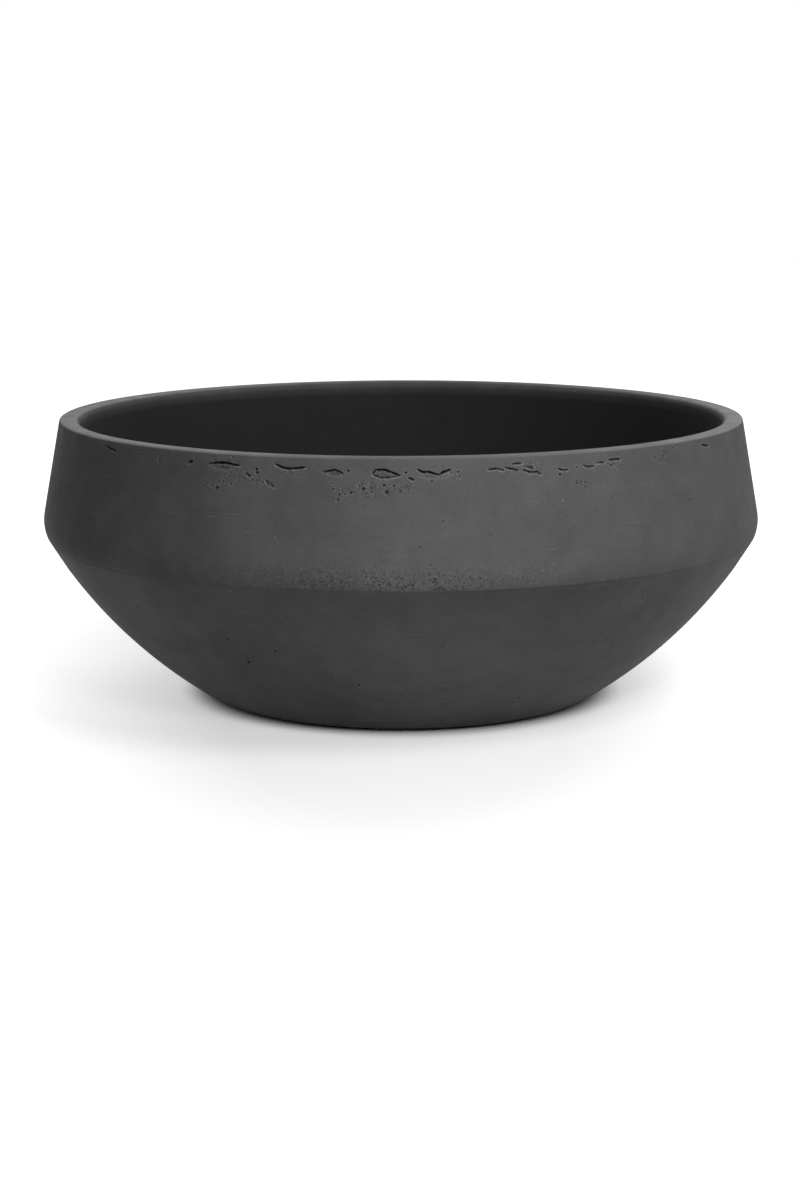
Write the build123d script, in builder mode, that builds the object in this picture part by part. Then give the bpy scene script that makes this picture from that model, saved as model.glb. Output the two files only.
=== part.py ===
from build123d import *
import os
from math import acos, asin, atan2, degrees

# Low round planter bowl cast in fibre-clay, with a rubber drain plug and rubber pads under its base.
# Millimetres, +Z up. The origin is on the floor, on the bowl's axis, and -Y is the front.

# Overall sizes
outer_d = 600.0
height = 235.0
base_d = 333.0

# Wall: a leaning upper band, a rounded shoulder and a lower wall that curves in to the base
wall = 17.0
shoulder_z = 150.5
inner_shoulder_round = 16.0
upper_lean = 10.4
lower_curve = 394.0

# Floor of the bowl and the rounding of the edges
floor_t = 20.0
floor_round = 35.0
lip_outer_round = 1.8
lip_inner_round = 5.0
base_round = 6.0

# Drain hole in the middle of the floor
hole_d = 24.0
hole_round = 1.5

# Drain plug: a tapered stem, a flange that seals on the floor and a grip to pull it by
plug_clearance = 0.3
stem_taper = 1.6
stem_recess = 1.0
stem_round = 1.2
flange_lap = 8.0
flange_t = 3.5
flange_round = 1.2
waist_d = 9.0
waist_h = 5.0
grip_d = 18.0
grip_t = 7.0
grip_round = 2.4

# Pads that keep the base off the floor, so that water can leave the hole
pad_count = 4
pad_d = 30.0
pad_t = 2.5
pad_inset = 35.0
pad_round = 0.6
first_pad_angle = 45.0

# Heights of the faces that meet
base_z = pad_t
floor_z = base_z + floor_t

# The shoulder is an arc about one centre and the lower wall a larger arc about another. They meet smoothly
# on the line through both centres, and the lower wall's arc ends on the base's edge.
shoulder_round = inner_shoulder_round + wall
shoulder_centre = Vector(outer_d / 2 - shoulder_round, shoulder_z)
base_edge = Vector(base_d / 2, base_z)
to_base = base_edge - shoulder_centre
reach = lower_curve - shoulder_round
opening = degrees(acos((to_base.length**2 + reach**2 - lower_curve**2) / (2 * to_base.length * reach)))
lower_bearing = degrees(atan2(to_base.Y, to_base.X)) - opening
lower_centre = shoulder_centre + Vector(reach, 0).rotate(Axis.Z, lower_bearing)
shoulder_foot = lower_bearing + 180


def draw_wall(depth, foot_z):
    """Draws the wall's line at a depth inside its outer face, from foot_z up to the lip."""
    radius = lower_curve - depth
    foot = degrees(asin((foot_z - lower_centre.Y) / radius))
    lower = CenterArc(lower_centre, radius, foot, shoulder_foot - foot)
    shoulder = CenterArc(shoulder_centre, shoulder_round - depth, shoulder_foot, upper_lean - shoulder_foot)
    rise = height - (shoulder @ 1).Y
    upper = PolarLine(shoulder @ 1, rise, 90 + upper_lean, length_mode=LengthMode.VERTICAL)
    return lower @ 0, upper @ 1


os.makedirs("parts", exist_ok=True)

# The shell: one section turned about the axis, with the drain hole through its floor
with BuildPart() as bowl_shell:
    with BuildSketch(Plane.XZ):
        with BuildLine():
            outer_foot, outer_lip = draw_wall(0, base_z)
            inner_foot, inner_lip = draw_wall(wall, floor_z)
            Line(outer_lip, inner_lip)
            Polyline(inner_foot, (0, floor_z), (0, base_z), outer_foot)
        make_face()
        fillet(vertices().group_by(Axis.Y)[-1].sort_by(Axis.X)[-1], radius=lip_outer_round)
        fillet(vertices().group_by(Axis.Y)[-1].sort_by(Axis.X)[0], radius=lip_inner_round)
        fillet(vertices().group_by(Axis.Y)[0].sort_by(Axis.X)[-1], radius=base_round)
        fillet(vertices().sort_by_distance(inner_foot)[0], radius=floor_round)
    revolve(axis=Axis.Z)
    Hole(radius=hole_d / 2)
    fillet(edges(Select.LAST).filter_by(GeomType.CIRCLE), radius=hole_round)
bowl_shell.part.label = "bowl_shell"
export_step(bowl_shell.part, "parts/bowl_shell.step")

# The plug, pushed in from above: its flange lies on the floor round the hole
stem_r = hole_d / 2 - plug_clearance
flange_r = hole_d / 2 + flange_lap
flange_z = floor_z + flange_t
grip_z = flange_z + waist_h
with BuildPart() as drain_plug:
    with BuildSketch(Plane.XZ):
        with BuildLine():
            Polyline(
                (0, base_z + stem_recess),
                (stem_r - stem_taper, base_z + stem_recess),
                (stem_r, floor_z),
                (flange_r, floor_z),
                (flange_r, flange_z),
                (waist_d / 2, flange_z),
                (waist_d / 2, grip_z),
                (grip_d / 2, grip_z),
                (grip_d / 2, grip_z + grip_t),
                (0, grip_z + grip_t),
                close=True,
            )
        make_face()
        fillet(vertices().group_by(Axis.Y)[0].sort_by(Axis.X)[-1], radius=stem_round)
        fillet(vertices().sort_by_distance((flange_r, flange_z))[0], radius=flange_round)
        fillet(vertices().sort_by_distance((grip_d / 2, grip_z))[0], radius=grip_round)
        fillet(vertices().sort_by_distance((grip_d / 2, grip_z + grip_t))[0], radius=grip_round)
    revolve(axis=Axis.Z)
drain_plug.part.label = "drain_plug"
export_step(drain_plug.part, "parts/drain_plug.step")

# The pads, stuck on under the flat of the base
pad_places = PolarLocations(base_d / 2 - pad_inset, pad_count, start_angle=first_pad_angle)
for number, place in enumerate(pad_places, start=1):
    with BuildPart() as floor_pad:
        with BuildSketch(Plane(place)):
            Circle(radius=pad_d / 2)
        extrude(amount=pad_t)
        fillet(edges().group_by(Axis.Z)[0], radius=pad_round)
    floor_pad.part.label = f"floor_pad_{number}"
    export_step(floor_pad.part, f"parts/floor_pad_{number}.step")
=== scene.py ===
from math import acos, asin, atan2, cos, pi, radians, sin, sqrt

import bmesh
import bpy
import numpy as np
from bpy.props import FloatProperty, FloatVectorProperty, IntProperty, PointerProperty
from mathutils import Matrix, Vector, noise


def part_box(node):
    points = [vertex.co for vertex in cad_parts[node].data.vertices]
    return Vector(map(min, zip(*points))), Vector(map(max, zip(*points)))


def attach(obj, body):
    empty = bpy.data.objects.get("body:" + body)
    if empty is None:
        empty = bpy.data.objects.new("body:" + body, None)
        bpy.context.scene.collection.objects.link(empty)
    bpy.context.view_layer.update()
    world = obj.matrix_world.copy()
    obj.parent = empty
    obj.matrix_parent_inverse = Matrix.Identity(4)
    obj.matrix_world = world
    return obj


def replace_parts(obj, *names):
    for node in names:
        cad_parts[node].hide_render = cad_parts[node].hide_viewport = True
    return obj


bl_info = {
    "name": "Fibre-clay Planter Bowl",
    "version": (1, 0, 0),
    "blender": (4, 5, 0),
    "location": "View3D > Sidebar > Planter",
    "description": "Casts the planter bowl with its tears and pits, its drain plug and pads, and sets the stage",
    "category": "Object",
}

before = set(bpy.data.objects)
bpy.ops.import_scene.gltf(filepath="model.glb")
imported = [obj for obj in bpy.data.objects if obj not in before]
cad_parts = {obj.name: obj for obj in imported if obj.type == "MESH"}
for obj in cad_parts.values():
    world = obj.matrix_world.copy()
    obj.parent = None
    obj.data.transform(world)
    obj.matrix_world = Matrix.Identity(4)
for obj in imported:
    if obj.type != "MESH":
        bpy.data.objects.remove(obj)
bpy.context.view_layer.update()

MM = 0.001

# Radius of the upper wall in mm, which turns an angle round the bowl into a length along the wall, and the
# rounded length of one degree
WALL_RADIUS, DEGREE = 287, 5

# In the tables of flaws, angles are in degrees round from the front, and drops below the lip and sizes in mm.
# The tears under the lip: width and depth, then the angle and the drop of each point along the tear
TEARS = (
    (1.5, 3.0, (-53.0, 5.5), (-51.5, 7.4), (-49.9, 8.2)),
    (2.2, 3.0, (-33.7, 10.1), (-32.8, 8.6)),
    (2.0, 4.5, (-29.8, 9.3), (-28.3, 8.3), (-27.2, 8.0), (-25.9, 8.6), (-24.6, 9.2)),
    (1.5, 3.0, (-23.4, 14.2), (-22.6, 16.7)),
    (0.9, 1.6, (-20.2, 18.2), (-19.3, 20.4), (-18.8, 23.3), (-19.9, 20.9), (-20.2, 18.2)),
    (2.2, 4.5, (-18.7, 7.0), (-17.7, 8.9), (-16.5, 9.7), (-15.4, 9.0), (-14.2, 8.1)),
    (1.7, 4.0, (-11.3, 11.0), (-10.5, 10.2), (-9.7, 9.3), (-8.5, 11.9)),
    (2.0, 4.0, (-4.1, 12.3), (-3.7, 8.9), (-2.5, 9.0), (-1.3, 10.8), (-0.2, 12.9)),
    (1.2, 2.6, (-4.1, 12.3), (-3.1, 14.3), (-1.9, 14.5), (-0.2, 12.9)),
    (1.8, 3.0, (1.1, 14.5), (1.8, 16.2)),
    (2.0, 4.5, (2.4, 8.6), (3.2, 10.7), (4.2, 10.8), (5.4, 12.7)),
    (2.1, 4.5, (5.4, 12.7), (6.0, 11.3), (7.2, 8.9)),
    (1.3, 2.6, (12.9, 9.6), (14.3, 9.1), (15.1, 10.4)),
    (1.3, 2.6, (15.4, 8.6), (17.4, 10.9)),
    (1.3, 2.4, (16.6, 6.3), (18.0, 5.8)),
    (1.2, 2.4, (18.3, 7.9), (19.8, 9.8)),
    (1.3, 2.6, (18.2, 10.8), (19.3, 12.8), (20.4, 12.6), (20.9, 14.6)),
    (1.3, 2.4, (23.8, 11.1), (24.5, 12.6), (25.3, 12.4)),
    (1.4, 2.4, (28.0, 9.9), (28.8, 11.4), (29.8, 11.2)),
    (1.3, 2.4, (30.3, 9.5), (31.0, 8.8), (31.8, 9.1)),
    (1.5, 2.8, (32.6, 7.6), (34.8, 7.7)),
    (2.0, 2.6, (54.6, 5.9), (56.7, 7.9)),
)

# Shallow scars where a flake has come away: angle, drop, half length, half height, fall to the right and depth
SCARS = (
    (-2.2, 12.0, 8.4, 2.3, 1.6, 1.1),
    (-9.8, 12.0, 5.0, 1.7, 0.6, 1.0),
    (-19.5, 20.7, 3.2, 1.2, 4.6, 0.5),
    (-27.6, 11.4, 7.0, 1.6, 0.4, 0.4),
    (4.6, 13.4, 7.5, 1.5, 0.6, 0.5),
)

# Pits left by air in the mould, under the lip and further down: angle, drop, width across and depth
PITS = (
    (-43.6, 5.0, 1.7, 1.6), (-39.4, 10.3, 2.1, 1.6), (-29.2, 11.2, 1.3, 1.0), (-25.8, 3.7, 1.6, 1.0),
    (-21.7, 11.0, 2.2, 2.4), (-21.6, 13.4, 1.9, 2.0), (-7.7, 10.1, 1.9, 1.8), (-0.5, 1.4, 1.3, 0.7),
    (0.7, 10.6, 1.8, 1.8), (8.3, 10.6, 1.5, 1.3), (8.5, 13.8, 1.5, 1.2), (4.5, 17.2, 1.4, 1.0),
    (24.0, 15.4, 1.6, 1.4), (26.8, 10.8, 1.6, 1.4), (33.1, 11.7, 1.7, 1.5), (42.0, 9.5, 1.9, 1.4),
    (44.1, 9.3, 1.6, 1.2), (44.6, 7.0, 2.0, 1.4), (46.6, 4.1, 1.7, 1.2), (52.2, 6.2, 1.8, 1.4),
    (44.6, 15.4, 1.6, 1.0), (-30.5, 21.8, 1.5, 1.3), (-29.0, 25.1, 1.5, 1.2), (-28.1, 26.1, 2.4, 2.2),
    (-27.1, 21.8, 1.5, 1.2), (-26.2, 17.3, 1.5, 1.0), (-25.7, 22.9, 1.5, 1.2), (-10.0, 18.8, 1.4, 1.0),
    (-9.8, 23.3, 1.8, 1.3), (-9.1, 30.6, 1.9, 1.4), (-8.1, 26.4, 1.4, 1.0), (-7.2, 25.9, 1.7, 1.2),
    (-6.0, 20.5, 1.7, 1.3), (-5.4, 22.4, 2.6, 1.8), (-4.3, 24.9, 1.6, 1.4), (-2.4, 19.9, 2.0, 1.4),
    (-2.1, 24.8, 2.8, 1.0), (-1.0, 20.2, 1.9, 0.9), (26.7, 22.9, 1.6, 1.0), (28.9, 25.8, 1.6, 1.0),
    (-28.5, 167.0, 3.0, 2.2), (-43.0, 200.5, 2.4, 1.6), (-47.5, 129.0, 2.0, 1.0), (-30.0, 146.5, 2.0, 1.2),
    (-41.0, 158.5, 1.8, 1.0), (-21.8, 153.5, 1.9, 1.2), (-8.0, 182.5, 1.9, 1.2), (0.6, 214.0, 1.8, 1.0),
    (36.5, 116.0, 2.2, 1.2), (40.5, 118.0, 2.0, 1.2), (48.0, 126.0, 1.9, 1.0), (26.5, 116.0, 1.9, 1.0),
    (11.0, 119.0, 1.9, 1.0), (8.5, 196.5, 1.9, 1.0), (26.5, 203.0, 1.9, 1.0),
)

# Rough patches of pale flecks and pinholes: angle, drop and reach
PATCHES = (
    (5.6, 4.5, 6), (-27.5, 12.0, 9), (-23.8, 15.5, 8), (-16.5, 12.5, 6), (-5.0, 22.0, 12), (-9.0, 26.0, 9),
    (7.6, 13.0, 6), (27.5, 23.0, 8), (20.0, 8.5, 8), (34.0, 11.5, 8), (44.5, 8.0, 9), (-28.5, 24.0, 9),
    (-21.0, 20.0, 7), (0.5, 21.0, 8), (-29.0, 4.5, 7), (-26.0, 4.5, 6),
)

# Points closer than this are one point
WELD = 0.01 * MM
# How far below the widest line the wall is flattened under the crease, in crease drops
FLAT_REACH = 2.9
# Half the angle between the lines that hold the crease's edge
CREASE_APART = radians(1.4)
# How far in mm from the outer face a face is still divided, and a point still cut, or put back on the round
FACE_DEPTH, CUT_DEPTH, ROUND_DEPTH = 3, 4, 2
# The plug's seat stays true: bends start this far from the axis, and have their full strength at twice that
SEAT_REACH = 0.06
# Rise and fall of the shoulder in mm, and its reach up and down
SHOULDER_WAVE, SHOULDER_REACH = 0.8, 0.035
# Depth, and half the height in mm, of the groove along the crease
GROOVE_DEPTH, GROOVE_HALF = 0.45, 0.9
# Softness of a flaw's edge, and height of the burr round it, in mm
EDGE_SOFTNESS, BURR_HEIGHT = 0.55, 0.12
# Faces round the plug for each of its ribs, and the ribs' depth and inner end as shares of the grip's radius
FACES_PER_RIB, RIB_DEPTH, RIB_START = 8, 0.06, 0.7

# Half the width of the studio floor. Its white glow grows between two distances from the axis, which count for
# more across than towards the front, and there is none under the base.
FLOOR_HALF = 6.0
GLOW_START, GLOW_END, GLOW_STRETCH = 0.4, 1.1, (2.7, 1.0, 1.0)
BASE_SHADE_START, BASE_SHADE_END = 0.158, 0.192

# The lamps: angles round from the front and above the floor in degrees, distance, width and height in metres,
# and power in watts. They are aimed at one point on the axis.
LAMPS = (
    ("key_softbox", 43, 50, 2.4, 1.0, 0.7, 23.5),
    ("fill_panel", 10, 20, 2.4, 1.0, 0.7, 0.8),
    ("front_panel", 12, 30, 1.15, 0.3, 0.2, 3.9),
    ("back_softbox", 175, 40, 2.4, 1.4, 0.8, 10.0),
)
LAMP_AIM = Vector((0, 0, 0.12))


def length(name, description, default):
    """A setting that holds a length in metres."""
    return FloatProperty(name=name, description=description, default=default, unit="LENGTH")


def colour(name, description, default):
    """A setting that holds a colour."""
    return FloatVectorProperty(
        name=name, description=description, subtype="COLOR", size=3, min=0, max=1, default=default)


class PlanterSizes(bpy.types.PropertyGroup):
    """Sizes of the cast bowl that the frame's own box doesn't give."""

    wall: length("Wall", "Thickness of the cast wall", 0.017)
    floor: length("Floor", "Thickness of the bowl's floor", 0.020)
    base: length("Base", "Width across the flat base", 0.333)
    shoulder_height: length("Shoulder height", "Height of the bowl's widest line", 0.1505)
    shoulder_round: length("Shoulder", "Radius of the shoulder's outer face", 0.033)
    lower_curve: length("Lower wall", "Radius of the lower wall's curve", 0.394)
    lean: FloatProperty(
        name="Lean", description="Lean of the upper wall towards the axis", default=radians(10.4), unit="ROTATION")
    lip_outer_round: length("Lip, outside", "Radius of the lip's outer edge", 0.0018)
    lip_inner_round: length("Lip, inside", "Radius of the lip's inner edge", 0.005)
    base_round: length("Base edge", "Radius of the base's edge", 0.006)
    floor_round: length("Floor edge", "Radius between the floor and the wall inside", 0.035)
    hole: length("Drain hole", "Width across the drain hole", 0.024)
    hole_round: length("Hole edge", "Radius of the drain hole's edges", 0.0015)
    crease_drop: length("Crease", "How far the mould's crease lies below the widest line", 0.0125)
    columns: IntProperty(
        name="Columns", description="Faces round the bowl before the tears are cut", default=300, min=48, max=720)
    lip_sag: length("Lip sag", "Fall of the lip at the back left", 0.0018)
    waver: length("Waver", "Unevenness of the wall, from the hand finish", 0.0005)


class PlugSizes(bpy.types.PropertyGroup):
    """Sizes of the drain plug that its box doesn't give."""

    stem: length("Stem", "Width of the stem under the flange", 0.0234)
    taper: length("Taper", "How much narrower the stem's foot is, each side", 0.0016)
    flange_height: length("Flange", "Thickness of the flange", 0.0035)
    waist: length("Waist", "Width of the waist under the grip", 0.009)
    grip: length("Grip", "Width of the grip", 0.018)
    grip_height: length("Grip height", "Height of the grip", 0.007)
    grip_round: length("Grip edge", "Radius of the grip's edges", 0.0024)
    edge: length("Flange edge", "Radius of the flange's and the stem's edges", 0.0012)
    ribs: IntProperty(
        name="Ribs", description="Ribs round the grip", default=20, min=6, max=48)


class PlanterColours(bpy.types.PropertyGroup):
    """Colours of the bowl's fibre-clay and of the rubber."""

    clay_dark: colour("Clay, dark", "Darker clouds in the charcoal clay", (0.058, 0.058, 0.059))
    clay_light: colour("Clay, light", "Lighter clouds in the charcoal clay", (0.097, 0.097, 0.098))
    # The pale dust colour also paints a highlight on the lip and over the crease, and light from the white floor
    # on the lower wall
    dust: colour("Dust", "Pale dust on the lip and round the tears", (0.29, 0.29, 0.29))
    # This dark colour is painted shade: in the tears, pits and pinholes, inside the bowl and under the crease
    painted_shade: colour("Pore", "Depth of the tears, pits and pinholes", (0.018, 0.018, 0.019))
    rubber: colour("Rubber", "Rubber of the plug and the pads", (0.020, 0.020, 0.021))


class PlanterStage(bpy.types.PropertyGroup):
    """Floor, lamps and camera."""

    floor_colour: colour("Floor", "Colour of the studio floor", (0.58, 0.58, 0.58))
    floor_glow: FloatProperty(
        name="Floor glow", description="White that the camera sees added to the floor", default=0.5, min=0, max=1)
    ambient: FloatProperty(
        name="Ambient", description="Light that reaches the object from all round", default=0.02, min=0, max=1)
    lamp_level: FloatProperty(
        name="Lamps", description="Level of all the lamps together", default=1.0, min=0, max=4)
    camera_height: length("Camera height", "Height of the camera", 0.4666)
    camera_distance: length("Camera distance", "Distance of the camera from the bowl's axis", 2.0109)
    camera_pitch: FloatProperty(
        name="Camera pitch", description="How far the camera looks down", default=0.1927, unit="ROTATION")
    camera_lens: FloatProperty(
        name="Lens", description="Focal length of the camera's lens in mm", default=71.92, unit="CAMERA")
    camera_shift: FloatProperty(
        name="Shift", description="Sideways shift of the picture, as a share of its width", default=-0.00083,
        precision=5)


class Section:
    """The bowl's cross-section: the centres its arcs turn about and the heights where they meet."""

    def __init__(self, sizes):
        low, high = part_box("bowl_shell")
        self.foot, self.top = low.z, high.z
        self.lean, self.shoulder_round, self.lower_curve = sizes.lean, sizes.shoulder_round, sizes.lower_curve
        self.shoulder = Vector((high.x - sizes.shoulder_round, sizes.shoulder_height))
        to_base = Vector((sizes.base / 2, self.foot)) - self.shoulder
        reach = sizes.lower_curve - sizes.shoulder_round
        opening = (to_base.length_squared + reach**2 - sizes.lower_curve**2) / (2 * to_base.length * reach)
        bearing = atan2(to_base.y, to_base.x) - acos(opening)
        self.lower = self.shoulder + reach * Vector((cos(bearing), sin(bearing)))
        self.join = bearing + pi
        self.turn_foot = self.shoulder.y + sizes.shoulder_round * sin(self.join)
        self.turn_head = self.shoulder.y + sizes.shoulder_round * sin(self.lean)
        self.crease = self.shoulder.y - sizes.crease_drop
        self.flat_foot = self.shoulder.y - FLAT_REACH * sizes.crease_drop
        self.crease_bearing = -asin(sizes.crease_drop / sizes.shoulder_round)

    def upper_line(self, depth, z):
        """Distance from the axis of a line at a depth inside the upper wall's outer face."""
        across = self.shoulder_round - depth - (z - self.shoulder.y) * sin(self.lean)
        return self.shoulder.x + across / cos(self.lean)

    def lower_line(self, depth, z):
        """Distance from the axis of an arc at a depth inside the lower wall's outer face."""
        return self.lower.x + ((self.lower_curve - depth)**2 - (z - self.lower.y)**2)**0.5

    def on_upper(self, depth, z):
        """Point at a depth inside the upper wall."""
        return Vector((self.upper_line(depth, z), z))

    def on_lower(self, depth, z):
        """Point at a depth inside the lower wall, with its bearing from the lower wall's centre."""
        point = Vector((self.lower_line(depth, z), z))
        away = point - self.lower
        return point, atan2(away.y, away.x)

    def outer_radius(self, z):
        """Distance from the axis of the outer face at each of many heights."""
        turn = self.shoulder_round**2 - (z - self.shoulder.y)**2
        shoulder = self.shoulder.x + np.sqrt(np.maximum(turn, 0))
        upper = np.where(z < self.turn_head, shoulder, self.upper_line(0, z))
        drawn = np.where(z < self.turn_foot, self.lower_line(0, np.minimum(z, self.turn_foot)), upper)
        top = self.shoulder.x + self.shoulder_round * cos(self.crease_bearing)
        foot = self.lower_line(0, self.flat_foot)
        flat = foot + (top - foot) * (z - self.flat_foot) / (self.crease - self.flat_foot)
        return np.where((z > self.flat_foot) & (z < self.crease), np.minimum(drawn, flat), drawn)


def turn(bm, tip, centre, start, end, radius, steps):
    """Draws an arc on from the tip, between two bearings about a centre, and gives its far end."""
    tip.co = (centre.x + radius * cos(start), 0, centre.y + radius * sin(start))
    made = bmesh.ops.spin(
        bm, geom=[tip], cent=(centre.x, 0, centre.y), axis=(0, -1, 0), angle=end - start, steps=steps,
        use_merge=False)
    return next(e for e in made["geom_last"] if isinstance(e, bmesh.types.BMVert))


def run(bm, tip, x, z, pieces):
    """Draws a straight line on from the tip, in equal pieces, and gives its far end."""
    start, end = tip.co.copy(), Vector((x, 0, z))
    for piece in range(pieces):
        tip = bmesh.ops.extrude_vert_indiv(bm, verts=[tip])["verts"][0]
        tip.co = start.lerp(end, (piece + 1) / pieces)
    return tip


def draw_section(bm, sizes, section):
    """Draws the cross-section as one closed chain, from the drain hole out, up the wall and back inside. The
    last number of each line and arc is its count of pieces."""
    foot, top = section.foot, section.top
    floor = foot + sizes.floor
    edge = sizes.hole / 2 + sizes.hole_round
    base_centre, base_bearing = section.on_lower(sizes.base_round, foot + sizes.base_round)
    outer_centre = section.on_upper(sizes.lip_outer_round, top - sizes.lip_outer_round)
    inner_centre = section.on_upper(sizes.wall - sizes.lip_inner_round, top - sizes.lip_inner_round)
    floor_centre, floor_bearing = section.on_lower(sizes.wall + sizes.floor_round, floor + sizes.floor_round)

    lean, join = section.lean, section.join
    inner_round = sizes.shoulder_round - sizes.wall
    outer_lip = outer_centre + sizes.lip_outer_round * Vector((cos(lean), sin(lean)))
    inner_shoulder = section.shoulder + inner_round * Vector((cos(lean), sin(lean)))
    tip = bm.verts.new((edge, 0, foot))
    tip = run(bm, tip, base_centre.x, foot, 5)
    tip = turn(bm, tip, base_centre, -pi / 2, base_bearing, sizes.base_round, 5)
    tip = turn(bm, tip, section.lower, base_bearing, join, sizes.lower_curve, 24)
    crease, apart = section.crease_bearing, CREASE_APART
    for start, end, steps in (
            (join, crease - apart, 5), (crease - apart, crease, 1), (crease, crease + apart, 1),
            (crease + apart, lean, 7)):
        tip = turn(bm, tip, section.shoulder, start, end, sizes.shoulder_round, steps)
    tip = run(bm, tip, outer_lip.x, outer_lip.y, 20)
    tip = turn(bm, tip, outer_centre, lean, pi / 2, sizes.lip_outer_round, 4)
    tip = run(bm, tip, inner_centre.x, top, 4)
    tip = turn(bm, tip, inner_centre, pi / 2, pi + lean, sizes.lip_inner_round, 6)
    tip = run(bm, tip, inner_shoulder.x, inner_shoulder.y, 10)
    tip = turn(bm, tip, section.shoulder, lean, join, inner_round, 7)
    tip = turn(bm, tip, section.lower, join, floor_bearing, sizes.lower_curve - sizes.wall, 18)
    tip = turn(bm, tip, floor_centre, floor_bearing, -pi / 2, sizes.floor_round, 6)
    tip = run(bm, tip, edge, floor, 8)
    tip = turn(bm, tip, Vector((edge, floor - sizes.hole_round)), pi / 2, pi, sizes.hole_round, 3)
    tip = run(bm, tip, sizes.hole / 2, foot + sizes.hole_round, 5)
    turn(bm, tip, Vector((edge, foot + sizes.hole_round)), pi, 1.5 * pi, sizes.hole_round, 3)


def draw_plug(bm, plug, floor):
    """Draws the plug's section from its foot on the axis, out round the flange and the grip, to its top. The
    flange lies on a floor of the given thickness."""
    low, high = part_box("drain_plug")
    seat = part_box("bowl_shell")[0].z + floor
    flange, edge = seat + plug.flange_height, plug.edge
    stem_foot = plug.stem / 2 - plug.taper
    grip_foot, grip = high.z - plug.grip_height, plug.grip / 2 - plug.grip_round
    tip = bm.verts.new((0, 0, low.z))
    tip = run(bm, tip, stem_foot - edge, low.z, 3)
    tip = turn(bm, tip, Vector((stem_foot - edge, low.z + edge)), -pi / 2, 0, edge, 4)
    tip = run(bm, tip, plug.stem / 2, seat, 5)
    tip = run(bm, tip, high.x, seat, 4)
    tip = turn(bm, tip, Vector((high.x - edge, flange - edge)), 0, pi / 2, edge, 4)
    tip = run(bm, tip, plug.stem / 2, flange, 3)
    tip = run(bm, tip, plug.stem / 2 - edge / 2, flange - edge / 3, 2)
    tip = run(bm, tip, plug.stem / 2 - edge, flange, 2)
    tip = run(bm, tip, plug.waist / 2, flange, 3)
    tip = run(bm, tip, plug.waist / 2, grip_foot, 4)
    tip = run(bm, tip, grip, grip_foot, 2)
    tip = turn(bm, tip, Vector((grip, grip_foot + plug.grip_round)), -pi / 2, 0, plug.grip_round, 5)
    tip = run(bm, tip, plug.grip / 2, high.z - plug.grip_round, 2)
    tip = turn(bm, tip, Vector((grip, high.z - plug.grip_round)), 0, pi / 2, plug.grip_round, 5)
    run(bm, tip, 0, high.z, 4)


def flaw_places():
    """Gives each flaw's middle as an angle and a drop, with half its length and half its height, in mm."""
    places = []
    for _width, _depth, *points in TEARS:
        angles, drops = [p[0] for p in points], [p[1] for p in points]
        middle = ((min(angles) + max(angles)) / 2, (min(drops) + max(drops)) / 2)
        reach = (radians(max(angles) - min(angles)) * WALL_RADIUS / 2, (max(drops) - min(drops)) / 2)
        places.append((*middle, *reach))
    places += [(angle, drop, half_length, half_height) for angle, drop, half_length, half_height, *_ in SCARS]
    places += [(angle, drop, 0, 0) for angle, drop, *_ in PITS]
    return np.array(places)


def divide_round_flaws(bm, section, cuts, margin):
    """Divides the outer faces that lie within a margin in mm of any tear, scar or pit."""
    places = flaw_places()
    chosen = set()
    for face in bm.faces:
        middle = face.calc_center_median()
        radius = Vector((middle.x, middle.y)).length
        faces_down = face.normal.z < -0.95
        if faces_down or radius < section.outer_radius(np.array(middle.z)) - FACE_DEPTH * MM:
            continue
        angle = atan2(middle.x, -middle.y)
        along = np.abs(np.radians(places[:, 0]) - angle) * radius / MM - places[:, 2]
        down = np.abs(places[:, 1] - (section.top - middle.z) / MM) - places[:, 3]
        half_height = max(abs(v.co.z - middle.z) for v in face.verts) / MM
        half_length = max((v.co - middle).xy.length for v in face.verts) / MM
        if np.any((along < margin + half_length) & (down < margin + half_height)):
            chosen.add(face)
    edges = [edge for edge in bm.edges if any(face in chosen for face in edge.link_faces)]
    bmesh.ops.subdivide_edges(bm, edges=edges, cuts=cuts, use_grid_fill=True)


def smooth_step(x):
    """Rises smoothly from 0 to 1."""
    x = np.clip(x, 0, 1)
    return x * x * (3 - 2 * x)


def waves(angle, z, seed, count, finest):
    """Sum of a few waves round and up the bowl, mostly between -1 and 1. Each has fewer turns than the finest."""
    rng = np.random.RandomState(seed)
    total = np.zeros_like(angle)
    for _ in range(count):
        turns = rng.randint(1, finest)
        rise = rng.uniform(-30, 30)
        total += np.sin(turns * angle + rise * z + rng.uniform(0, 2 * pi)) / (1 + turns / 6)
    return total / sqrt(count)


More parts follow.
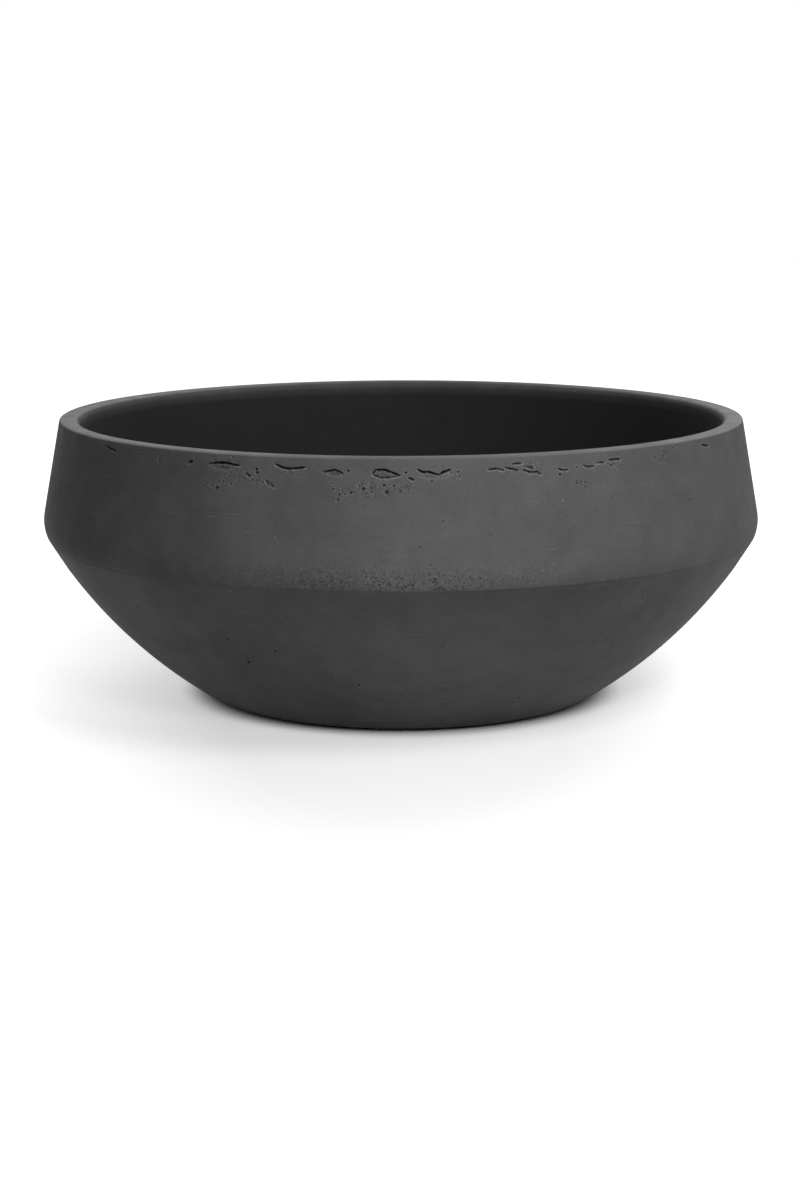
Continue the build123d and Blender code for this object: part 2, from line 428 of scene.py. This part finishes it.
def settle(co, section, sizes):
    """Puts the divided outer faces back on the true round, then bends the cast's form a little by hand."""
    radius, z = np.hypot(co[:, 0], co[:, 1]), co[:, 2]
    angle = np.arctan2(co[:, 0], -co[:, 1])
    true = section.outer_radius(np.clip(z, section.foot, section.top))
    outside = (z > section.foot + sizes.base_round) & (z < section.top - sizes.lip_outer_round)
    outside &= np.abs(true - radius) < ROUND_DEPTH * MM
    radius = np.where(outside, true, radius)
    high = smooth_step((z - section.shoulder.y) / (section.top - section.shoulder.y))
    sag = sizes.lip_sag * (0.5 - 0.33 * np.sin(angle) - 0.33 * np.cos(angle))
    bends = smooth_step((radius - SEAT_REACH) / SEAT_REACH)
    shoulder = np.exp(-((z - section.shoulder.y) / SHOULDER_REACH)**2)
    lift = -sag * high + bends * shoulder * SHOULDER_WAVE * MM * waves(angle, z * 0, 4, 5, 9)
    inward = bends * sizes.waver * (0.6 + 0.6 * waves(angle, z, 7, 8, 8)) / 1.6
    groove = np.exp(-((z - section.crease + GROOVE_HALF * MM) / (GROOVE_HALF * MM))**2)
    groove = groove * (true - radius < ROUND_DEPTH * MM)
    inward += GROOVE_DEPTH * MM * groove * np.clip(0.8 + 0.7 * waves(angle, z * 0, 5, 6, 14), 0.1, 1.4)
    radius = radius - np.clip(inward, 0.05 * MM * bends, None)
    return angle, radius, z + lift


def roughen(points, scale, seed):
    """Noise at each point, between -1 and 1."""
    shift = Vector((seed, 3.1 * seed, 5.7 * seed))
    return np.array([noise.noise(Vector(p) * scale + shift) for p in points])


class Flaws:
    """The flaws cut into the outer face, as three numbers at each point: the depth in mm, how far the point is
    down a hollow, and how far it is up on the burr round one."""

    def __init__(self, angle, radius, z, section):
        self.along, self.drop = angle * WALL_RADIUS, (section.top - z) / MM
        self.outer = radius > section.outer_radius(z) - CUT_DEPTH * MM
        self.depth, self.hollow, self.burr = np.zeros_like(z), np.zeros_like(z), np.zeros_like(z)

    def near(self, angles, drops, reach):
        """Points of the outer face within a reach of a box round some angles and drops."""
        low, high = radians(min(angles)) * WALL_RADIUS - reach, radians(max(angles)) * WALL_RADIUS + reach
        level = (self.drop > min(drops) - reach) & (self.drop < max(drops) + reach)
        return np.flatnonzero(self.outer & (self.along > low) & (self.along < high) & level)

    def ragged(self, at, amount, seed):
        """Coarse and fine noise at some points, about as large as the amount."""
        points = np.column_stack([self.along[at], self.drop[at], np.zeros(len(at))])
        return amount * (roughen(points, 0.45, seed) + 0.5 * roughen(points, 1.1, seed + 9))

    def deepen(self, at, depth, hollow, burr):
        """Adds a flaw at some points, where it goes beyond those already there."""
        for kept, added in ((self.depth, depth), (self.hollow, hollow), (self.burr, burr)):
            kept[at] = np.maximum(kept[at], added)

    def tear(self, number, width, deep, *points):
        """Opens a ragged tear along a line of points, with a burr along its lower edge."""
        angles, drops = [p[0] for p in points], [p[1] for p in points]
        at = self.near(angles, drops, 6)
        x, y = self.along[at], self.drop[at]
        px, py = np.radians(angles) * WALL_RADIUS, np.array(drops)
        lengths = np.hypot(np.diff(px), np.diff(py))
        starts = np.concatenate([[0], np.cumsum(lengths)])
        gap, share, below = np.full(len(at), np.inf), np.zeros(len(at)), np.zeros(len(at))
        for k, stretch in enumerate(lengths):
            dx, dy = (px[k + 1] - px[k]) / stretch, (py[k + 1] - py[k]) / stretch
            t = np.clip((x - px[k]) * dx + (y - py[k]) * dy, 0, stretch)
            far = np.hypot(x - px[k] - t * dx, y - py[k] - t * dy)
            closer = far < gap
            gap = np.where(closer, far, gap)
            share = np.where(closer, (starts[k] + t) / starts[-1], share)
            below = np.where(closer, y - py[k] - t * dy, below)
        taper = 0.45 + 0.55 * np.sqrt(np.sin(pi * np.clip(share, 0, 1)))
        edge = 0.37 * width * taper + self.ragged(at, 0.45, number)
        amount = smooth_step((edge - gap) / EDGE_SOFTNESS + 0.5)
        hollow = amount * (0.75 + self.ragged(at, 0.5, number + 20)).clip(0.3, 1)
        rim = smooth_step(1 - np.abs(gap - edge - 0.7) / 0.9) * np.clip(0.5 + below, 0.1, 1)
        burr = rim * smooth_step(0.6 + self.ragged(at, 0.9, number + 40))
        self.deepen(at, deep * amount * taper, hollow, burr)

    def scar(self, number, middle, fall, half_length, half_height, tilt, deep):
        """Scoops out a shallow oval, with a faint burr under it."""
        at = self.near([middle], [fall], half_length + 4)
        x = (self.along[at] - radians(middle) * WALL_RADIUS) / half_length
        y = (self.drop[at] - fall - tilt * x / 2) / half_height
        edge = 1 - np.hypot(x, y) + self.ragged(at, 0.15, number + 70)
        amount = smooth_step(edge * half_height / 0.5)
        burr = 0.35 * smooth_step(1 - np.abs(edge * half_height + 0.5) / 0.7) * (y > 0)
        self.deepen(at, deep * amount * (1 + self.ragged(at, 0.2, number + 80)), 0.2 * amount, burr)

    def pit(self, number, middle, fall, width, deep):
        """Sinks a small round pit, with a broken burr round it."""
        at = self.near([middle], [fall], 4)
        far = np.hypot(self.along[at] - radians(middle) * WALL_RADIUS, self.drop[at] - fall)
        half_width = 0.43 * width - 0.15 + self.ragged(at, 0.7, number + 100)
        amount = smooth_step((half_width - far) / EDGE_SOFTNESS + 0.5)
        burr = (0.3 + self.ragged(at, 0.6, number + 9)).clip(0, 0.5)
        burr = burr * smooth_step(1 - np.abs(far - width / 2 - 0.6) / 0.7)
        self.deepen(at, deep * amount, 0.9 * amount, burr)


def cut_flaws(angle, radius, z, section):
    """Sinks the tears, scars and pits into the outer face. Gives the new radius, and how deep and how raised
    each point is."""
    flaws = Flaws(angle, radius, z, section)
    for cut, table in ((flaws.tear, TEARS), (flaws.scar, SCARS), (flaws.pit, PITS)):
        for number, flaw in enumerate(table):
            cut(number, *flaw)
    burr = flaws.burr * (1 - flaws.hollow)
    return radius - (flaws.depth - BURR_HEIGHT * burr) * MM, flaws.hollow, burr


def hill(x, reach):
    """Is 1 where x is 0, and fades smoothly to nothing on both sides."""
    return np.exp(-(x / reach)**2)


def clay_marks(section, angle, z, inner):
    """Gives the strength at each point of the marks that the clay's material reads. Angles are in radians round
    from the front, and the inner points are those that don't lie on the outer face."""
    outer, side = ~inner, np.sin(angle)
    over, below = z - section.crease, section.crease - z
    along, drop = np.degrees(angle), (section.top - z) / MM

    # Pale dust on the lip, with a painted highlight there, brighter at the sides than at the front
    lip = smooth_step((z - section.top + 1.6 * MM) / (1.2 * MM))
    lip *= np.clip(0.12 + np.where(side < 0, -side, 0.88 * side**2), 0, 1)
    # Pinholes over the crease at the front, with a faint painted highlight there, and painted shade under it
    band = hill(over - 6 * MM, 11 * MM) * hill(angle, 0.42) * (outer & (over > 0))
    under = hill(below, 26 * MM) * (below > 0) * hill(angle - 0.22, 0.55) * outer
    # Patches of flecks, wider than they are high
    flecked = np.zeros_like(z)
    for middle, fall, reach in PATCHES:
        across, down = (along - middle) * DEGREE / reach, (drop - fall) / reach * 1.6
        flecked += np.exp(-(across**2 + down**2) * 1.5)
    flecked = np.clip(flecked, 0, 1) * outer
    # Painted shade inside the bowl, from a little under the lip down, a little weaker at the front and back
    inside = smooth_step((section.top - 4 * MM - z) / (6 * MM)) * inner * (0.9 + 0.1 * np.abs(side))
    # Painted light from the white floor on the lower wall, paler to the left and less so to the right, but not at
    # the back or near the base
    painted_floor_light = smooth_step((-angle - 0.35) / 0.75) + 0.5 * smooth_step((angle - 0.85) / 0.4)
    painted_floor_light *= smooth_step((z - 0.02) / 0.09) * smooth_step(below / (6 * MM)) * outer
    painted_floor_light *= smooth_step((2.4 - np.abs(angle)) / 0.9)
    # Hairline scratches round the front, half way up the upper wall
    scraped = hill(z - 0.194, 0.008) * hill(angle, 0.5) * outer
    return {
        "lip": lip, "band": band, "flecked": flecked, "inside": inside, "under": under, "painted_floor_light": painted_floor_light,
        "scraped": scraped}


def mesh_object(bm, name, body, material):
    """Makes the finished mesh a piece that rides on a body."""
    for face in bm.faces:
        face.smooth = True
    mesh = bpy.data.meshes.new(name)
    bm.to_mesh(mesh)
    bm.free()
    mesh.materials.append(material)
    piece = bpy.data.objects.new(name, mesh)
    bpy.context.scene.collection.objects.link(piece)
    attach(piece, body)
    return piece


def write_attribute(mesh, name, values):
    """Keeps a number at each point, which the material reads."""
    attribute = mesh.attributes.new(name, "FLOAT", "POINT")
    attribute.data.foreach_set("value", values.astype(np.float32))


def new_group(name, inputs, outputs):
    """Starts a node group with named sockets, and gives it with its input and output nodes."""
    group = bpy.data.node_groups.new(name, "ShaderNodeTree")
    for label, kind, value in inputs:
        socket = group.interface.new_socket(label, in_out="INPUT", socket_type=kind)
        if value is not None:
            socket.default_value = value
    for label in outputs:
        group.interface.new_socket(label, in_out="OUTPUT", socket_type="NodeSocketFloat")
    return group, group.nodes.new("NodeGroupInput"), group.nodes.new("NodeGroupOutput")


def fill(tree, node, inputs):
    """Fills a node's inputs with numbers or links."""
    for key, value in inputs.items():
        if isinstance(value, bpy.types.NodeSocket):
            tree.links.new(value, node.inputs[key])
        else:
            node.inputs[key].default_value = value


def put(tree, kind, inputs=(), **settings):
    """Adds a node, sets it and fills its inputs."""
    node = tree.nodes.new(kind)
    for name, value in settings.items():
        setattr(node, name, value)
    fill(tree, node, dict(inputs))
    return node


def reckon(tree, operation, *values):
    """Adds a math node and gives its result."""
    return put(tree, "ShaderNodeMath", enumerate(values), operation=operation).outputs[0]


def rescale(tree, value, low, high, to_low=0.0, to_high=1.0):
    """Adds a smooth map from one range to another and gives its result."""
    inputs = {"Value": value, "From Min": low, "From Max": high, "To Min": to_low, "To Max": to_high}
    return put(tree, "ShaderNodeMapRange", inputs, interpolation_type="SMOOTHSTEP").outputs["Result"]


def add_up(tree, *layers):
    """Adds up layers, each times its own share."""
    total = 0.0
    for layer, share in layers:
        total = reckon(tree, "MULTIPLY_ADD", layer, share, total)
    return total


def strongest(tree, value, *layers):
    """Raises a value to the strongest of some layers, each times its own share."""
    for layer, share in layers:
        value = reckon(tree, "MAXIMUM", value, reckon(tree, "MULTIPLY", layer, share))
    return value


def blend_colour(tree, amount, *ends):
    """Adds a mix of two colours and gives its result."""
    first, second = (end if isinstance(end, bpy.types.NodeSocket) else (*end, 1) for end in ends)
    return put(tree, "ShaderNodeMix", {0: amount, 6: first, 7: second}, data_type="RGBA").outputs[2]


def mottling_group():
    """Cloudy light and dark patches, as cement pigment leaves."""
    group, start, end = new_group(
        "soft_mottling",
        [("Vector", "NodeSocketVector", None), ("Scale", "NodeSocketFloat", 15.0),
         ("Detail", "NodeSocketFloat", 5.0), ("Contrast", "NodeSocketFloat", 0.2)],
        ["Shade"])
    clouds = put(group, "ShaderNodeTexNoise", {
        "Vector": start.outputs["Vector"], "Scale": start.outputs["Scale"],
        "Detail": start.outputs["Detail"], "Roughness": 0.58, "Distortion": 0.4})
    low = reckon(group, "SUBTRACT", 0.5, start.outputs["Contrast"])
    high = reckon(group, "ADD", 0.5, start.outputs["Contrast"])
    group.links.new(rescale(group, clouds.outputs["Fac"], low, high), end.inputs["Shade"])
    return group


def spots_group():
    """Small round spots scattered at random, for pinholes and for pale flecks."""
    group, start, end = new_group(
        "scattered_spots",
        [("Vector", "NodeSocketVector", None), ("Scale", "NodeSocketFloat", 300.0),
         ("Radius", "NodeSocketFloat", 0.3), ("Share", "NodeSocketFloat", 0.3)],
        ["Mask"])
    cells = put(group, "ShaderNodeTexVoronoi", {
        "Vector": start.outputs["Vector"], "Scale": start.outputs["Scale"], "Randomness": 1.0})
    parts = put(group, "ShaderNodeSeparateColor", {"Color": cells.outputs["Color"]})
    radius = reckon(group, "MULTIPLY", start.outputs["Radius"], reckon(group, "ADD", parts.outputs["Green"], 0.35))
    spot = rescale(group, reckon(group, "DIVIDE", cells.outputs["Distance"], radius), 1.0, 0.55)
    held = reckon(group, "LESS_THAN", parts.outputs["Red"], start.outputs["Share"])
    group.links.new(reckon(group, "MULTIPLY", spot, held), end.inputs["Mask"])
    return group


def streaks_group():
    """Thin level streaks, as a trowel drawn round the bowl leaves."""
    group, start, end = new_group(
        "trowel_streaks",
        [("Vector", "NodeSocketVector", None), ("Scale", "NodeSocketFloat", 8.0),
         ("Stretch", "NodeSocketFloat", 40.0), ("Share", "NodeSocketFloat", 0.2)],
        ["Mask"])
    scaled = put(group, "ShaderNodeCombineXYZ", {
        "X": 1.0, "Y": 1.0, "Z": start.outputs["Stretch"]})
    drawn = put(
        group, "ShaderNodeVectorMath", {0: start.outputs["Vector"], 1: scaled.outputs[0]}, operation="MULTIPLY")
    lines = put(group, "ShaderNodeTexNoise", {
        "Vector": drawn.outputs[0], "Scale": start.outputs["Scale"], "Detail": 3.0, "Roughness": 0.6})
    low = reckon(group, "SUBTRACT", 0.75, start.outputs["Share"])
    group.links.new(rescale(group, lines.outputs["Fac"], low, 0.75), end.inputs["Mask"])
    return group


def grain_group():
    """Fine sandy grain, as a height and as a shade."""
    group, start, end = new_group(
        "fine_grain",
        [("Vector", "NodeSocketVector", None), ("Scale", "NodeSocketFloat", 900.0)],
        ["Height", "Shade"])
    grain = put(group, "ShaderNodeTexNoise", {
        "Vector": start.outputs["Vector"], "Scale": start.outputs["Scale"], "Detail": 4.0, "Roughness": 0.7})
    group.links.new(grain.outputs["Fac"], end.inputs["Height"])
    group.links.new(rescale(group, grain.outputs["Fac"], 0.3, 0.7), end.inputs["Shade"])
    return group


GROUP_MAKERS = {
    "soft_mottling": mottling_group, "scattered_spots": spots_group, "trowel_streaks": streaks_group,
    "fine_grain": grain_group}


def place(tree, name, **inputs):
    """Places a shared group in a material with its own values, and gives its outputs. The group is built the
    first time that it is placed."""
    node = put(tree, "ShaderNodeGroup", node_tree=bpy.data.node_groups.get(name) or GROUP_MAKERS[name]())
    fill(tree, node, inputs)
    return node.outputs


def new_material(name, specular):
    """Starts a material, and gives it with its node tree and its shader."""
    material = bpy.data.materials.new(name)
    material.use_nodes = True
    shader = material.node_tree.nodes["Principled BSDF"]
    shader.inputs["Specular IOR Level"].default_value = specular
    return material, material.node_tree, shader


def clay_material(colours):
    """Charcoal fibre-clay: cloudy, sandy and dry, with pale dust and flecks. Painted shade darkens the tears,
    pits, pinholes, the inside and a strip under the crease, and painted light brightens the lip, the band over the
    crease and the lower wall's edges.
    """
    material, tree, shader = new_material("fibre_clay", 0.25)
    where = put(tree, "ShaderNodeTexCoord").outputs["Object"]
    marks = {
        name: put(tree, "ShaderNodeAttribute", attribute_name=name).outputs["Fac"]
        for name in ("lip", "hollow", "burr", "band", "flecked", "inside", "under", "painted_floor_light", "scraped")}
    clouds = place(tree, "soft_mottling", Vector=where, Scale=11.0, Detail=5.0, Contrast=0.22)["Shade"]
    patches = place(tree, "soft_mottling", Vector=where, Scale=48.0, Detail=6.0, Contrast=0.25)["Shade"]
    grain = place(tree, "fine_grain", Vector=where, Scale=800.0)
    holes = place(tree, "scattered_spots", Vector=where, Scale=230.0, Radius=0.22, Share=0.03)["Mask"]
    band_holes = place(tree, "scattered_spots", Vector=where, Scale=620.0, Radius=0.50, Share=0.60)["Mask"]
    flecks = place(tree, "scattered_spots", Vector=where, Scale=260.0, Radius=0.22, Share=0.04)["Mask"]
    patch_flecks = place(tree, "scattered_spots", Vector=where, Scale=700.0, Radius=0.45, Share=0.45)["Mask"]
    scraped = reckon(tree, "MULTIPLY_ADD", marks["scraped"], 0.15, 0.045)
    scratches = place(tree, "trowel_streaks", Vector=where, Scale=9.0, Stretch=95.0, Share=scraped)["Mask"]
    strokes = place(tree, "trowel_streaks", Vector=where, Scale=32.0, Stretch=20.0, Share=0.10)["Mask"]
    streaks = place(tree, "trowel_streaks", Vector=where, Scale=7.0, Stretch=45.0, Share=0.14)["Mask"]

    shade = add_up(tree, (clouds, 0.45), (patches, 0.25), (grain["Shade"], 0.38), (streaks, 0.16))
    clay = blend_colour(tree, shade, colours.clay_dark, colours.clay_light)

    # The rough places over the crease and under the lip hold both pale flecks and pinholes darkened with painted
    # shade
    rough_band = reckon(tree, "MULTIPLY", marks["band"], rescale(tree, patches, 0.1, 0.7, 0.45, 1.0))
    pitted = reckon(tree, "MAXIMUM", rough_band, marks["flecked"])
    lip = reckon(tree, "MULTIPLY", marks["lip"], rescale(tree, patches, 0.0, 1.0, 0.72, 1.0))
    # Pale dust on the lip, round the tears, in flecks and scratches, with a painted highlight on the lip and over
    # the crease and painted light from the floor on the lower wall
    pale_dust_and_painted_light = strongest(
        tree, lip, (marks["burr"], 0.4), (flecks, 0.25), (scratches, 0.18), (strokes, 0.14),
        (reckon(tree, "MULTIPLY", patch_flecks, pitted), 0.4), (marks["band"], 0.05), (marks["painted_floor_light"], 0.22))
    clay = blend_colour(tree, pale_dust_and_painted_light, clay, colours.dust)
    # Painted shade: the tears, pits and pinholes, the inside of the bowl and a strip under the crease are darkened
    # towards the shade colour
    painted_hole_shade = reckon(tree, "MAXIMUM", reckon(tree, "MULTIPLY", band_holes, pitted), marks["hollow"])
    painted_shade_amount = strongest(tree, painted_hole_shade, (holes, 0.55), (marks["inside"], 0.92), (marks["under"], 0.38))
    clay = blend_colour(tree, painted_shade_amount, clay, colours.painted_shade)

    height = add_up(tree, (grain["Height"], 0.10), (patches, 0.06), (streaks, 0.03), (painted_shade_amount, -0.5))
    bump = put(tree, "ShaderNodeBump", {"Strength": 1.0, "Distance": MM, "Height": height})
    fill(tree, shader, {
        "Base Color": clay, "Roughness": rescale(tree, shade, 0.0, 1.0, 0.90, 0.78),
        "Normal": bump.outputs["Normal"]})
    return material


def rubber_material(name, colours, dust_share):
    """Black rubber with a fine moulded grain and a little dust."""
    material, tree, shader = new_material(name, 0.4)
    where = put(tree, "ShaderNodeTexCoord").outputs["Object"]
    clouds = place(tree, "soft_mottling", Vector=where, Scale=90.0, Detail=4.0, Contrast=0.25)["Shade"]
    grain = place(tree, "fine_grain", Vector=where, Scale=2500.0)["Height"]
    dust = place(tree, "scattered_spots", Vector=where, Scale=900.0, Radius=0.3, Share=dust_share)["Mask"]
    lighter = tuple(1.8 * c for c in colours.rubber)
    rubber = blend_colour(tree, clouds, colours.rubber, lighter)
    rubber = blend_colour(tree, reckon(tree, "MULTIPLY", dust, 0.4), rubber, colours.dust)
    bump = put(tree, "ShaderNodeBump", {"Strength": 0.6, "Distance": 0.05 * MM, "Height": grain})
    fill(tree, shader, {
        "Base Color": rubber, "Roughness": rescale(tree, clouds, 0.0, 1.0, 0.55, 0.72),
        "Normal": bump.outputs["Normal"]})
    return material


def seen_directly(tree):
    """Gives 1 to the camera, to reflections and through glass, and 0 to the light that falls on things."""
    path = put(tree, "ShaderNodeLightPath")
    seen = reckon(tree, "MAXIMUM", path.outputs["Is Camera Ray"], path.outputs["Is Glossy Ray"])
    return reckon(tree, "MAXIMUM", seen, path.outputs["Is Transmission Ray"])


def floor_material(stage):
    """Pale studio floor that holds the bowl's shadow and runs out to white."""
    material, tree, shader = new_material("studio_floor", 0.2)
    fill(tree, shader, {"Base Color": (*stage.floor_colour, 1), "Roughness": 0.6})
    where = put(tree, "ShaderNodeTexCoord").outputs["Object"]
    wide = put(tree, "ShaderNodeVectorMath", {0: where, 1: GLOW_STRETCH}, operation="MULTIPLY").outputs[0]
    far = put(tree, "ShaderNodeVectorMath", {0: wide}, operation="LENGTH").outputs["Value"]
    spread = put(tree, "ShaderNodeMapRange", {
        "Value": far, "From Min": GLOW_START, "From Max": GLOW_END, "To Min": stage.floor_glow,
        "To Max": 1.0}).outputs["Result"]
    near = put(tree, "ShaderNodeVectorMath", {0: where}, operation="LENGTH").outputs["Value"]
    spread = reckon(tree, "MULTIPLY", spread, rescale(tree, near, BASE_SHADE_START, BASE_SHADE_END))
    glow = put(tree, "ShaderNodeEmission", {
        "Color": (1, 1, 1, 1), "Strength": reckon(tree, "MULTIPLY", spread, seen_directly(tree))})
    both = put(tree, "ShaderNodeAddShader", {0: shader.outputs[0], 1: glow.outputs[0]})
    tree.links.new(both.outputs[0], tree.nodes["Material Output"].inputs["Surface"])
    return material


def white_world(stage):
    """World that the camera and reflections see as white, and that adds little light of its own."""
    world = bpy.data.worlds.new("studio")
    world.use_nodes = True
    tree = world.node_tree
    strength = put(tree, "ShaderNodeMapRange", {
        "Value": seen_directly(tree), "From Min": 0.0, "From Max": 1.0, "To Min": stage.ambient, "To Max": 1.0})
    fill(tree, tree.nodes["Background"], {"Color": (1, 1, 1, 1), "Strength": strength.outputs["Result"]})
    bpy.context.scene.world = world


def add_lamp(name, azimuth, elevation, distance, width, height, power):
    """Hangs a soft rectangular lamp at an angle round from the front and above the floor, aimed at the bowl."""
    data = bpy.data.lights.new(name, "AREA")
    data.shape = "RECTANGLE"
    data.size, data.size_y = width, height
    data.energy = power * bpy.context.scene.planter_stage.lamp_level
    lamp = bpy.data.objects.new(name, data)
    bpy.context.scene.collection.objects.link(lamp)
    azimuth, elevation = radians(azimuth), radians(elevation)
    level = cos(elevation) * distance
    lamp.location = (level * sin(azimuth), -level * cos(azimuth), sin(elevation) * distance)
    lamp.rotation_euler = (lamp.location - LAMP_AIM).to_track_quat("Z", "Y").to_euler()
    lamp.visible_camera = False


class PLANTER_OT_cast_bowl(bpy.types.Operator):
    """Casts the bowl: its section is drawn, spun round the axis and torn under the lip"""

    bl_idname = "planter.cast_bowl"
    bl_label = "Cast the bowl"

    def execute(self, context):
        sizes, colours = context.scene.planter_sizes, context.scene.planter_colours
        section = Section(sizes)
        bm = bmesh.new()
        draw_section(bm, sizes, section)
        bmesh.ops.remove_doubles(bm, verts=bm.verts, dist=WELD)
        bmesh.ops.spin(
            bm, geom=bm.verts[:] + bm.edges[:], cent=(0, 0, 0), axis=(0, 0, 1), angle=2 * pi,
            steps=sizes.columns, use_merge=True)
        bmesh.ops.remove_doubles(bm, verts=bm.verts, dist=WELD)
        bmesh.ops.recalc_face_normals(bm, faces=bm.faces)
        divide_round_flaws(bm, section, cuts=3, margin=2.5)
        divide_round_flaws(bm, section, cuts=2, margin=1.2)
        piece = mesh_object(bm, "bowl_cast", "bowl", clay_material(colours))
        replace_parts(piece, "bowl_shell")

        mesh = piece.data
        co = np.empty(len(mesh.vertices) * 3)
        mesh.vertices.foreach_get("co", co)
        co = co.reshape(-1, 3)
        drawn = co[:, 2]
        outer_radius = section.outer_radius(np.clip(drawn, section.foot, section.top))
        inner = np.hypot(co[:, 0], co[:, 1]) < outer_radius - MM
        angle, radius, z = settle(co, section, sizes)
        radius, hollow, burr = cut_flaws(angle, radius, z, section)
        marks = {"hollow": hollow, "burr": burr, **clay_marks(section, angle, drawn, inner)}
        co = np.column_stack([radius * np.sin(angle), -radius * np.cos(angle), z])
        mesh.vertices.foreach_set("co", co.ravel())
        mesh.update()
        for name, values in marks.items():
            write_attribute(mesh, name, values)
        return {"FINISHED"}


class PLANTER_OT_mould_plug(bpy.types.Operator):
    """Moulds the drain plug: its section is spun, and its grip is ribbed"""

    bl_idname = "planter.mould_plug"
    bl_label = "Mould the plug"

    def execute(self, context):
        plug = context.scene.planter_plug
        bm = bmesh.new()
        draw_plug(bm, plug, context.scene.planter_sizes.floor)
        bmesh.ops.spin(
            bm, geom=bm.verts[:] + bm.edges[:], cent=(0, 0, 0), axis=(0, 0, 1), angle=2 * pi,
            steps=FACES_PER_RIB * plug.ribs, use_merge=True)
        bmesh.ops.remove_doubles(bm, verts=bm.verts, dist=WELD)
        bmesh.ops.recalc_face_normals(bm, faces=bm.faces)
        grip_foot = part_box("drain_plug")[1].z - plug.grip_height
        for vert in bm.verts:
            if vert.co.z > grip_foot and vert.co.xy.length > RIB_START * plug.grip / 2:
                groove = (0.5 - 0.5 * cos(plug.ribs * atan2(vert.co.y, vert.co.x)))**3
                narrower = 1 - RIB_DEPTH * groove
                bmesh.ops.scale(bm, vec=(narrower, narrower, 1), verts=[vert])
        material = rubber_material("plug_rubber", context.scene.planter_colours, 0.08)
        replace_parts(mesh_object(bm, "plug_moulded", "plug", material), "drain_plug")
        return {"FINISHED"}


class PLANTER_OT_stick_pads(bpy.types.Operator):
    """Gives the floor pads their rubber"""

    bl_idname = "planter.stick_pads"
    bl_label = "Stick on the pads"

    def execute(self, context):
        material = rubber_material("pad_rubber", context.scene.planter_colours, 0.15)
        for name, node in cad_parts.items():
            if name.startswith("floor_pad"):
                node.data.materials.clear()
                node.data.materials.append(material)
        return {"FINISHED"}


class PLANTER_OT_set_stage(bpy.types.Operator):
    """Lays the floor, hangs the lamps and puts up the camera"""

    bl_idname = "planter.set_stage"
    bl_label = "Set the stage"

    def execute(self, context):
        stage = context.scene.planter_stage
        bm = bmesh.new()
        bmesh.ops.create_grid(bm, x_segments=4, y_segments=4, size=FLOOR_HALF)
        mesh = bpy.data.meshes.new("floor")
        bm.to_mesh(mesh)
        bm.free()
        mesh.materials.append(floor_material(stage))
        floor = bpy.data.objects.new("floor", mesh)
        context.scene.collection.objects.link(floor)
        white_world(stage)

        for lamp in LAMPS:
            add_lamp(*lamp)

        data = bpy.data.cameras.new("camera")
        data.lens = stage.camera_lens
        data.sensor_width = 36
        data.shift_x = stage.camera_shift
        camera = bpy.data.objects.new("camera", data)
        context.scene.collection.objects.link(camera)
        camera.location = (0, -stage.camera_distance, stage.camera_height)
        camera.rotation_euler = (pi / 2 - stage.camera_pitch, 0, 0)
        context.scene.camera = camera
        context.scene.view_settings.view_transform = "Standard"
        return {"FINISHED"}


class PLANTER_PT_maker(bpy.types.Panel):
    """Lists the steps that make the planter, and its sizes and colours"""

    bl_idname = "PLANTER_PT_maker"
    bl_label = "Planter bowl"
    bl_space_type = "VIEW_3D"
    bl_region_type = "UI"
    bl_category = "Planter"

    def draw(self, context):
        for operator in STEPS:
            self.layout.operator(operator.bl_idname)
        for setting in SETTINGS:
            group, box = getattr(context.scene, setting), self.layout.box()
            for name in group.__annotations__:
                box.prop(group, name)


STEPS = (PLANTER_OT_cast_bowl, PLANTER_OT_mould_plug, PLANTER_OT_stick_pads, PLANTER_OT_set_stage)
CLASSES = (PlanterSizes, PlugSizes, PlanterColours, PlanterStage, *STEPS, PLANTER_PT_maker)
SETTINGS = {
    "planter_sizes": PlanterSizes, "planter_plug": PlugSizes, "planter_colours": PlanterColours,
    "planter_stage": PlanterStage}


def register():
    for kind in CLASSES:
        bpy.utils.register_class(kind)
    for name, kind in SETTINGS.items():
        setattr(bpy.types.Scene, name, PointerProperty(type=kind))


def unregister():
    for name in SETTINGS:
        delattr(bpy.types.Scene, name)
    for kind in reversed(CLASSES):
        bpy.utils.unregister_class(kind)


def main():
    """Makes every piece and the stage."""
    register()
    bpy.ops.planter.cast_bowl()
    bpy.ops.planter.mould_plug()
    bpy.ops.planter.stick_pads()
    bpy.ops.planter.set_stage()


if __name__ == "__main__":
    main()
